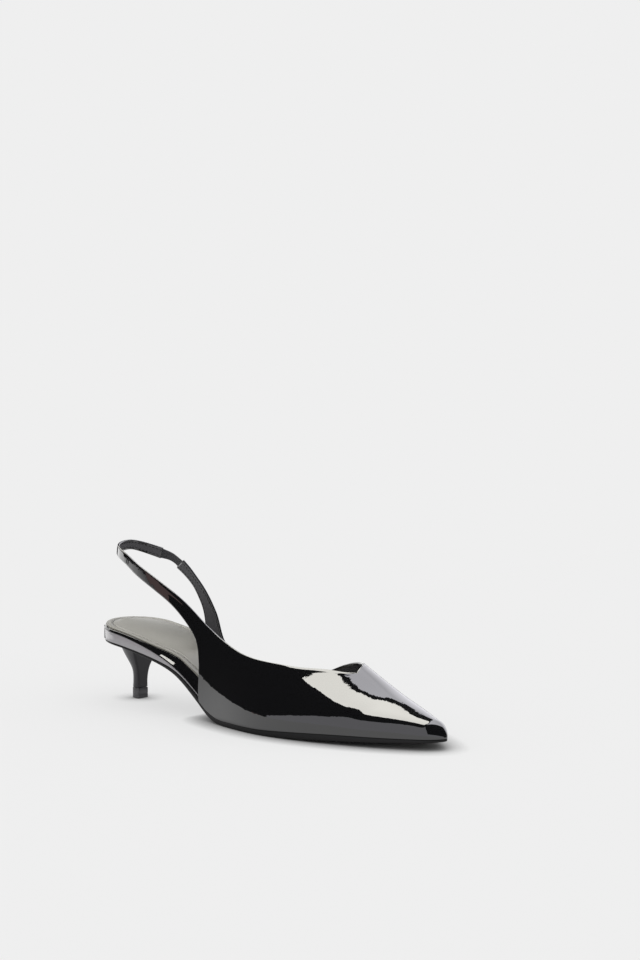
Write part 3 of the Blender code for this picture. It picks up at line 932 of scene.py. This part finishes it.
def new_finish(name, hex_colour, strength, depth, **sockets):
    """Material with a Principled shader, the object's coordinates for its patterns, and a relief to feed.

    The relief has a strength, and a depth in millimetres.
    """
    finish = bpy.data.materials.new(name)
    finish.use_nodes = True
    tree = finish.node_tree
    shader = tree.nodes["Principled BSDF"].inputs
    shader["Base Color"].default_value = linear(hex_colour)
    for socket, value in sockets.items():
        shader[socket.replace("_", " ")].default_value = value
    where = add_node(tree, "ShaderNodeTexCoord").outputs["Object"]
    relief = add_node(tree, "ShaderNodeBump", {"Strength": strength, "Distance": depth * MM},
                      [shader["Normal"], shader["Coat Normal"]])
    return finish, tree, where, relief.inputs


def per_metre(millimetres):
    """Pattern scale that repeats about once in that many millimetres."""
    return 1 / (millimetres * MM)


def patent_leather():
    """Split leather under a poured lacquer film: deep black, mirror gloss, rippled like a still pond."""
    finish, tree, where, relief = new_finish(
        "patent_leather", "#0a0a0c", strength=0.05, depth=0.16, Roughness=0.03, IOR=1.50,
        Coat_Weight=1.0, Coat_Roughness=0.012, Coat_IOR=1.58)
    swell = add_node(tree, "ShaderNodeTexNoise", {"Vector": where, "Scale": per_metre(7.0), "Detail": 1.0})
    add_node(tree, "ShaderNodeBump", {"Height": swell.outputs["Fac"], "Strength": 0.08, "Distance": 0.6 * MM},
             [relief["Normal"]])
    add_node(tree, "ShaderNodeTexNoise", {"Vector": where, "Scale": per_metre(1.6), "Detail": 2.0},
             [relief["Height"]])
    return finish


def wedge_cover():
    """Coated leather round the wedge, under a thinner, softer lacquer than the patent's. Its pewter grey base
    colour is a painted reflection of the pale studio, which the black lacquer there would mirror.
    """
    # Pewter grey base colour: painted reflection of the pale studio on black lacquer
    finish, tree, where, relief = new_finish(
        "wedge_cover", "#8f8d90", strength=0.10, depth=0.16, Roughness=0.25, IOR=1.45,
        Coat_Weight=0.6, Coat_Roughness=0.06, Coat_IOR=1.50)
    add_node(tree, "ShaderNodeTexNoise", {"Vector": where, "Scale": per_metre(1.6), "Detail": 2.0},
             [relief["Height"]])
    return finish


def heel_cover():
    """Sprayed heel: one film of dark grey lacquer on the moulded heel, less bright than the patent."""
    finish, tree, where, relief = new_finish(
        "heel_cover", "#2a292c", strength=0.10, depth=0.16, Roughness=0.25, IOR=1.30)
    add_node(tree, "ShaderNodeTexNoise", {"Vector": where, "Scale": per_metre(2.5), "Detail": 1.0},
             [relief["Height"]])
    return finish


def lining_leather():
    """Dyed pigskin lining: dark grey, dull, with a close pebble grain."""
    finish, tree, where, relief = new_finish(
        "lining_leather", "#454447", strength=0.25, depth=0.2, Roughness=0.58, IOR=1.45)
    add_node(tree, "ShaderNodeTexVoronoi", {"Vector": where, "Scale": per_metre(0.9)}, [relief["Height"]])
    return finish


def sock_leather():
    """Metallised sock leather: warm grey, its grain ironed almost flat, pale with satin lustre at a slant."""
    finish, tree, where, relief = new_finish(
        "sock_leather", "#716f68", strength=0.10, depth=0.1, Roughness=0.34, IOR=1.50)
    cloud = add_node(tree, "ShaderNodeTexNoise", {"Vector": where, "Scale": per_metre(18.0), "Detail": 3.0})
    tones = {"Factor": cloud.outputs["Fac"], "A": linear("#6b6962"), "B": linear("#77756e")}
    tone = add_node(tree, "ShaderNodeMix", tones, data_type="RGBA")
    tree.links.new(tone.outputs["Result"], tree.nodes["Principled BSDF"].inputs["Base Color"])
    add_node(tree, "ShaderNodeTexVoronoi", {"Vector": where, "Scale": per_metre(0.8)}, [relief["Height"]])
    return finish


def sole_rubber():
    """Moulded rubber sole, inked black: satin, with a fine stipple."""
    finish, tree, where, relief = new_finish(
        "sole_rubber", "#0d0d0e", strength=0.18, depth=0.1, Roughness=0.45, IOR=1.35)
    add_node(tree, "ShaderNodeTexNoise", {"Vector": where, "Scale": per_metre(0.7), "Detail": 2.0},
             [relief["Height"]])
    return finish


def lift_rubber():
    """Cast polyurethane tread: dark grey and satin, slightly uneven as if scuffed."""
    finish, tree, where, relief = new_finish(
        "lift_rubber", "#454447", strength=0.2, depth=0.1, Roughness=0.50, IOR=1.45)
    add_node(tree, "ShaderNodeTexNoise", {"Vector": where, "Scale": per_metre(1.1), "Detail": 4.0},
             [relief["Height"]])
    return finish


def elastic_webbing():
    """Woven elastic: black covered cords with a soft fuzz, crossed by fine picks of weft."""
    finish, tree, where, relief = new_finish(
        "elastic_webbing", "#29292c", strength=0.4, depth=0.1, Roughness=0.8, IOR=1.45,
        Sheen_Weight=0.3, Sheen_Roughness=0.5)
    # A real weft has two or three picks a millimetre. Here they are coarser, so that they show
    add_node(tree, "ShaderNodeTexWave", {"Vector": where, "Scale": BAND * per_metre(1.578)},
             [relief["Height"]], bands_direction="X")
    return finish


def sewing_thread(name, hex_colour):
    """Bonded polyester thread: a dull twist."""
    finish, tree, where, relief = new_finish(
        name, hex_colour, strength=0.3, depth=0.1, Roughness=0.6, IOR=1.5)
    # Coarser than a real twist, so that it shows. Diagonal bands lie twice as far apart along an axis
    add_node(tree, "ShaderNodeTexWave", {"Vector": where, "Scale": 2 * BAND * per_metre(1.973)},
             [relief["Height"]], bands_direction="DIAGONAL")
    return finish


def add_camera():
    """Camera at the photograph's place, turned so that the shoe lies where it does in its frame."""
    azimuth, elevation = np.radians(CAMERA_AZIMUTH), np.radians(CAMERA_ELEVATION)
    yaw, pitch = np.radians(CAMERA_YAW), np.radians(CAMERA_PITCH)
    right = np.array([np.cos(azimuth), np.sin(azimuth), 0])
    level = np.array([np.sin(azimuth), -np.cos(azimuth), 0])
    back = np.cos(elevation) * level + np.sin(elevation) * UP
    up = np.cross(back, right)
    eye = place(np.array(CAMERA_TARGET) + CAMERA_DISTANCE * back)
    right, back = np.cos(yaw) * right + np.sin(yaw) * back, np.cos(yaw) * back - np.sin(yaw) * right
    up, back = np.cos(pitch) * up + np.sin(pitch) * back, np.cos(pitch) * back - np.sin(pitch) * up
    lens = bpy.data.cameras.new("camera")
    lens.lens = CAMERA_LENS
    lens.sensor_width = CAMERA_SENSOR
    lens.clip_end = VIEW_END
    camera = bpy.data.objects.new("camera", lens)
    bpy.context.scene.collection.objects.link(camera)
    camera.matrix_world = Matrix(np.column_stack([right, up, back, eye]).tolist() + [[0, 0, 0, 1]])
    bpy.context.scene.camera = camera


def add_sheet(name, corners, tones, tint=WHITE, mirrored=True):
    """Flat sheet of light far from the shoe: its corners, counted in FAR metres, and the radiance at each.

    A mirrored sheet is seen only in glossy reflections, any other one only lights the dull surfaces.
    """
    mesh = bpy.data.meshes.new(name)
    mesh.from_pydata((FAR * np.asarray(corners, float)).tolist(), [], [tuple(range(len(corners)))])
    tones = np.broadcast_to(tones, len(corners)).astype(np.float32)
    mesh.attributes.new("tone", "FLOAT", "POINT").data.foreach_set("value", tones)
    finish = bpy.data.materials.new(name)
    finish.use_nodes = True
    tree = finish.node_tree
    tone = add_node(tree, "ShaderNodeAttribute", attribute_name="tone")
    add_node(tree, "ShaderNodeEmission", {"Color": linear(tint), "Strength": tone.outputs["Fac"]},
             [tree.nodes["Material Output"].inputs["Surface"]])
    mesh.materials.append(finish)
    sheet = bpy.data.objects.new(name, mesh)
    sheet.visible_camera = False
    sheet.visible_shadow = False
    sheet.visible_diffuse = not mirrored
    sheet.visible_glossy = mirrored
    bpy.context.scene.collection.objects.link(sheet)


def bearing(azimuth):
    """Level direction at that azimuth."""
    return np.array([np.cos(np.radians(azimuth)), np.sin(np.radians(azimuth)), 0.0])


def overhead(places):
    """Corners on a ceiling over the shoe: distances along the soft box and across it."""
    along, across = bearing(BOX_AZIMUTH), bearing(BOX_AZIMUTH + 90)
    return [UP + a * along + c * across for a, c in places]


def upright(places):
    """Corners round the shoe: azimuths and slopes over the horizon."""
    return [bearing(azimuth) + slope * UP for azimuth, slope in places]


def card(left, right, low, high):
    """Corners of an upright card between two azimuths and two slopes over the horizon."""
    return upright(((left, low), (left, high), (right, high), (right, low)))


def add_sheets():
    """Sheets overhead with a dark gap between them, walls and cards round the shoe, and the key light."""
    add_sheet("soft_box", overhead(SOFT_BOX), [6.7 - 3.1 * along for along, _ in SOFT_BOX], WARM_WHITE)
    add_sheet("pale_sheet", overhead(PALE_SHEET), [3.85 - 1.8 * along for along, _ in PALE_SHEET], COOL_WHITE)
    add_sheet("far_sheet", overhead(FAR_SHEET), (1.7, 1.6, 1.3, 1.3, 1.7), COOL_WHITE)
    near, far = overhead(BACK_WALL)
    add_sheet("back_wall", [near, near - UP, far - UP, far], (1.3, 1.2, 1.2, 1.3), COOL_WHITE)
    add_sheet("back_paper", card(*BACK_PAPER), 1.3)
    add_sheet("front_sheet", overhead(FRONT_SHEET), WALL_LIGHT, COOL_WHITE)
    add_sheet("side_sheet", overhead(SIDE_SHEET), WALL_LIGHT, COOL_WHITE)
    add_sheet("front_wall", card(*FRONT_WALL), WALL_LIGHT, COOL_WHITE)
    add_sheet("side_wall", upright(SIDE_WALL), WALL_LIGHT, COOL_WHITE)
    add_sheet("low_card", card(*LOW_CARD), (0.8, 0.4, 2.5, 2.6))
    add_sheet("rear_card", upright(REAR_CARD), (2.3, 2.3, 2.2, 2.0, 1.6, 1.3))
    add_sheet("brown_card", card(*BROWN_CARD), 0.45, BROWN)
    over = KEY_OUT * bearing(KEY_AZIMUTH) + KEY_UP * UP
    wide = KEY_HALF * bearing(KEY_AZIMUTH - 90)
    deep = np.cross(over, wide)
    corners = [over + wide + deep, over - wide + deep, over - wide - deep, over + wide - deep]
    add_sheet("key", corners, KEY_LIGHT, mirrored=False)


def add_room():
    """Plain room of the floor's tone that fills the shadows, and is almost dark in mirror reflections."""
    scene = bpy.context.scene
    scene.view_settings.view_transform = "Standard"
    scene.world = bpy.data.worlds.new("studio")
    scene.world.use_nodes = True
    tree = scene.world.node_tree
    tones = ((PALE, 1.0), (WHITE, FILL_LIGHT), (WHITE, ROOM_LIGHT))
    seen, fill, room = (add_node(tree, "ShaderNodeBackground", {"Color": linear(tint), "Strength": light})
                        for tint, light in tones)
    ray = add_node(tree, "ShaderNodeLightPath").outputs
    lit = {0: ray["Is Glossy Ray"], 1: fill.outputs[0], 2: room.outputs[0]}
    unseen = add_node(tree, "ShaderNodeMixShader", lit)
    view = {0: ray["Is Camera Ray"], 1: unseen.outputs[0], 2: seen.outputs[0]}
    add_node(tree, "ShaderNodeMixShader", view, [tree.nodes["World Output"].inputs["Surface"]])


def add_floor():
    """Pale floor, lit and a little luminous like a light table. Its glow fades with ambient occlusion where
    the shoe stands on it, a painted contact shadow.
    """
    mesh = bpy.data.meshes.new("floor")
    corners = [(FLOOR_BACK, -FLOOR_SIDE, 0), (FLOOR_FRONT, -FLOOR_SIDE, 0),
               (FLOOR_FRONT, FLOOR_SIDE, 0), (FLOOR_BACK, FLOOR_SIDE, 0)]
    mesh.from_pydata(corners, [], [(0, 1, 2, 3)])
    floor = bpy.data.objects.new("floor", mesh)
    finish = bpy.data.materials.new("studio_floor")
    finish.use_nodes = True
    tree = finish.node_tree
    shader = tree.nodes["Principled BSDF"].inputs
    shader["Base Color"].default_value = (FLOOR_TONE, FLOOR_TONE, FLOOR_TONE, 1.0)
    shader["Roughness"].default_value = 1.0
    shader["Specular IOR Level"].default_value = 0.0
    shader["Emission Color"].default_value = linear(PALE)
    # Painted contact shadow: the floor's glow is multiplied by ambient occlusion raised to a power
    near = add_node(tree, "ShaderNodeAmbientOcclusion", {"Distance": PAINTED_SHADOW_REACH * MM}, samples=8)
    shadowed_glow = add_node(tree, "ShaderNodeMath", {0: near.outputs["AO"], 1: PAINTED_SHADOW_POWER}, operation="POWER")
    add_node(tree, "ShaderNodeMath", {0: shadowed_glow.outputs[0], 1: FLOOR_GLOW},
             [shader["Emission Strength"]], operation="MULTIPLY")
    mesh.materials.append(finish)
    bpy.context.scene.collection.objects.link(floor)


skin = patent_leather()
add_upper(skin, lining_leather())
add_elastic(elastic_webbing())
add_sock(sock_leather())
add_sole_layers(skin, wedge_cover(), sole_rubber())
add_heel(heel_cover(), lift_rubber())
add_seams(sewing_thread("sock_thread", "#3a3733"), sewing_thread("strap_thread", "#0c0c0d"))
add_camera()
add_room()
add_sheets()
add_floor()
